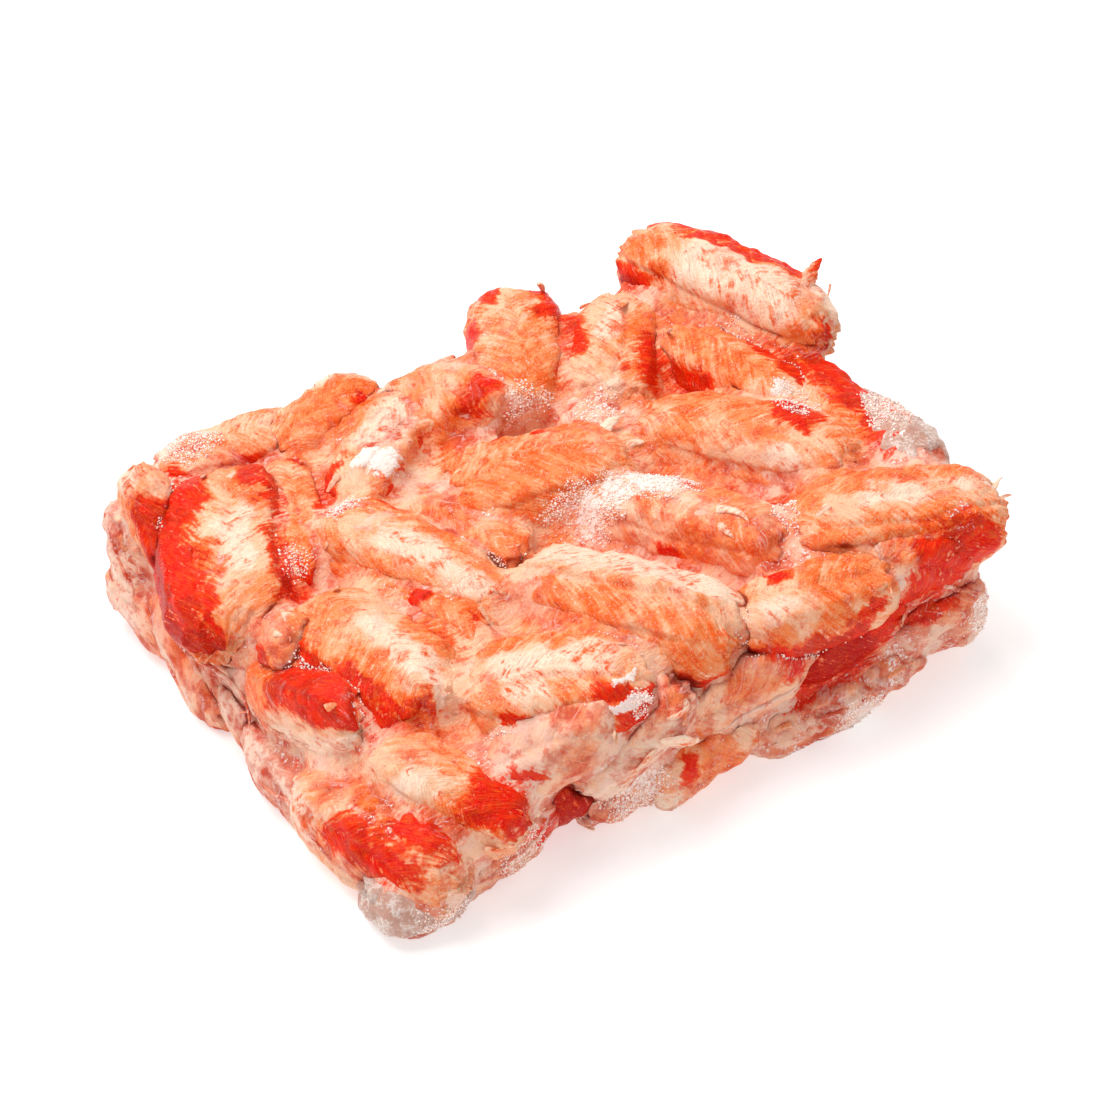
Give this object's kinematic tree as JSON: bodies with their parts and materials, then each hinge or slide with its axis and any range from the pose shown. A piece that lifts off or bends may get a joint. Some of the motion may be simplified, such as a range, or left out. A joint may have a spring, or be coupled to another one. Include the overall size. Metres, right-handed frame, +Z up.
{
  "type": "frozen block of shelled king crab leg meat",
  "caption": "Rectangular frozen block of shelled king crab leg meat: thick orange-red and cream pieces pressed together under a clear ice glaze, with a raised piece at a back corner.",
  "frame": {"origin": "middle of the flat underside, on the surface the block rests on", "axes": "+X along the block's long side, -Y towards the long side that faces the viewer, +Z up"},
  "size_m": [0.1986, 0.1553, 0.0619],
  "materials": {
    "red_meat": "wet gloss under ice glaze",
    "orange_meat": "wet gloss under ice glaze",
    "pale_meat": "wet gloss under ice glaze",
    "glaze_ice": "frosted ice"
  },
  "bodies": {
    "root": {"top_meat_01": "red_meat", "top_meat_02": "red_meat", "top_meat_03": "orange_meat", "top_meat_04": "pale_meat", "top_meat_05": "pale_meat", "top_meat_06": "pale_meat", "top_meat_07": "pale_meat", "top_meat_08": "orange_meat", "top_meat_09": "orange_meat", "top_meat_10": "orange_meat", "top_meat_11": "orange_meat", "top_meat_12": "orange_meat", "top_meat_13": "orange_meat", "top_meat_14": "red_meat", "top_meat_15": "red_meat", "top_meat_16": "orange_meat", "top_meat_17": "pale_meat", "top_meat_18": "orange_meat", "top_meat_19": "red_meat", "top_meat_20": "pale_meat", "top_meat_21": "orange_meat", "top_meat_22": "orange_meat", "top_meat_23": "pale_meat", "top_meat_24": "red_meat", "front_meat_01": "pale_meat", "front_meat_02": "pale_meat", "front_meat_03": "orange_meat", "front_meat_04": "pale_meat", "front_meat_05": "red_meat", "front_meat_06": "red_meat", "front_meat_07": "red_meat", "front_meat_08": "pale_meat", "front_meat_09": "red_meat", "front_meat_10": "red_meat", "front_meat_11": "orange_meat", "front_meat_12": "glaze_ice", "back_meat_01": "orange_meat", "back_meat_02": "pale_meat", "back_meat_03": "red_meat", "back_meat_04": "pale_meat", "back_meat_05": "red_meat", "back_meat_06": "orange_meat", "left_meat_01": "pale_meat", "left_meat_02": "orange_meat", "left_meat_03": "orange_meat", "left_meat_04": "pale_meat", "left_meat_05": "pale_meat", "left_meat_06": "pale_meat", "left_meat_07": "red_meat", "left_meat_08": "orange_meat", "left_meat_09": "pale_meat", "left_meat_10": "red_meat", "left_meat_11": "orange_meat", "right_meat_01": "glaze_ice", "right_meat_02": "orange_meat", "right_meat_03": "pale_meat", "right_meat_04": "pale_meat", "right_meat_05": "red_meat", "frozen_core": "glaze_ice"}
  },
  "joints": []
}
